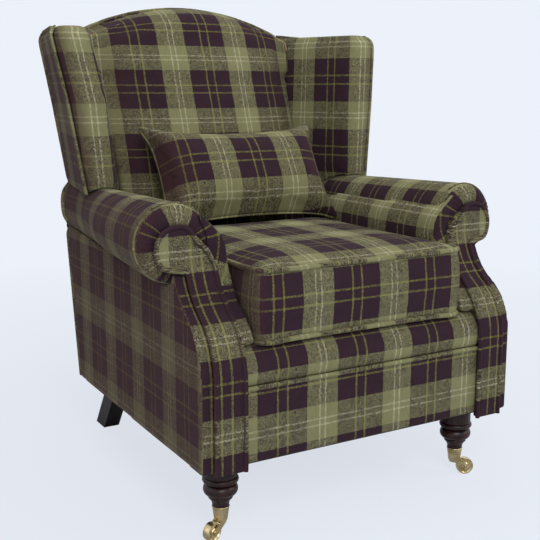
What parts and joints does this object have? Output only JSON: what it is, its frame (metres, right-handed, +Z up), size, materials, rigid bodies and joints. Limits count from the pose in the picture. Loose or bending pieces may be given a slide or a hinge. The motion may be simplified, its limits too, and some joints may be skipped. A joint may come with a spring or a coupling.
{
  "type": "fireside chair",
  "caption": "High-backed upholstered armchair with wings, scroll arms, a loose seat cushion, a scatter cushion, turned front legs on brass castors and raked back legs.",
  "frame": {"origin": "on the floor, under the middle of the chair's overall width and depth", "axes": "+Z up, +X to the right seen from the front, the chair faces -Y"},
  "size_m": [0.8284, 0.8193, 1.013],
  "materials": {
    "tartan_cloth": "woven wool tartan in sage, plum and cream",
    "lining": "black lining cloth",
    "beech": "sawn beech",
    "plywood": "birch plywood",
    "mahogany": "dark mahogany stain under lacquer",
    "brass": "polished, lightly tarnished",
    "webbing": "rubberised webbing",
    "steel": "zinc plated"
  },
  "bodies": {
    "root": {"front_rail": "beech", "back_rail": "beech", "corner_blocks": "beech", "top_rail": "beech", "leg_bolts": "steel", "seat_webbing": "webbing", "back_webbing": "webbing", "seat_platform": "lining", "front_border": "tartan_cloth", "front_lip": "tartan_cloth", "inside_back": "tartan_cloth", "outside_back": "tartan_cloth", "dust_cover": "lining", "back_post_left": "beech", "side_rail_left": "beech", "front_post_left": "beech", "arm_rail_left": "beech", "wing_board_left": "plywood", "arm_facing_left": "tartan_cloth", "arm_roll_left": "tartan_cloth", "inside_arm_left": "tartan_cloth", "outside_arm_left": "tartan_cloth", "wing_pad_left": "tartan_cloth", "outside_wing_left": "tartan_cloth", "front_leg_left": "mahogany", "back_leg_left": "mahogany", "castor_cup_left": "brass", "castor_kingpin_left": "brass", "back_post_right": "beech", "side_rail_right": "beech", "front_post_right": "beech", "arm_rail_right": "beech", "wing_board_right": "plywood", "arm_facing_right": "tartan_cloth", "arm_roll_right": "tartan_cloth", "inside_arm_right": "tartan_cloth", "outside_arm_right": "tartan_cloth", "wing_pad_right": "tartan_cloth", "outside_wing_right": "tartan_cloth", "front_leg_right": "mahogany", "back_leg_right": "mahogany", "castor_cup_right": "brass", "castor_kingpin_right": "brass"},
    "castor_fork_left": {"castor_fork_left": "brass", "castor_axle_left": "brass"},
    "castor_wheel_left": {"castor_wheel_left": "brass"},
    "castor_fork_right": {"castor_fork_right": "brass", "castor_axle_right": "brass"},
    "castor_wheel_right": {"castor_wheel_right": "brass"},
    "seat_cushion": {"seat_cushion": "tartan_cloth"},
    "scatter_cushion": {"scatter_cushion": "tartan_cloth"}
  },
  "joints": [
    {"name": "castor_swivel_left", "type": "hinge", "parent": "root", "child": "castor_fork_left", "pos_m": [-0.283, -0.332, 0.0318], "axis": [0, 0, 1], "continuous": true},
    {"name": "castor_roll_left", "type": "hinge", "parent": "castor_fork_left", "child": "castor_wheel_left", "pos_m": [-0.30555, -0.34021, 0.018], "axis": [0.342, -0.9397, 0], "continuous": true},
    {"name": "castor_swivel_right", "type": "hinge", "parent": "root", "child": "castor_fork_right", "pos_m": [0.283, -0.332, 0.0318], "axis": [0, 0, 1], "continuous": true},
    {"name": "castor_roll_right", "type": "hinge", "parent": "castor_fork_right", "child": "castor_wheel_right", "pos_m": [0.30555, -0.34021, 0.018], "axis": [0.342, 0.9397, 0], "continuous": true},
    {"name": "seat_cushion_lift", "type": "slide", "parent": "root", "child": "seat_cushion", "axis": [0, 0, 1], "range_m": [0, 0.3]},
    {"name": "scatter_cushion_lift", "type": "slide", "parent": "seat_cushion", "child": "scatter_cushion", "axis": [0, -0.5, 0.866], "range_m": [0, 0.25]}
  ]
}
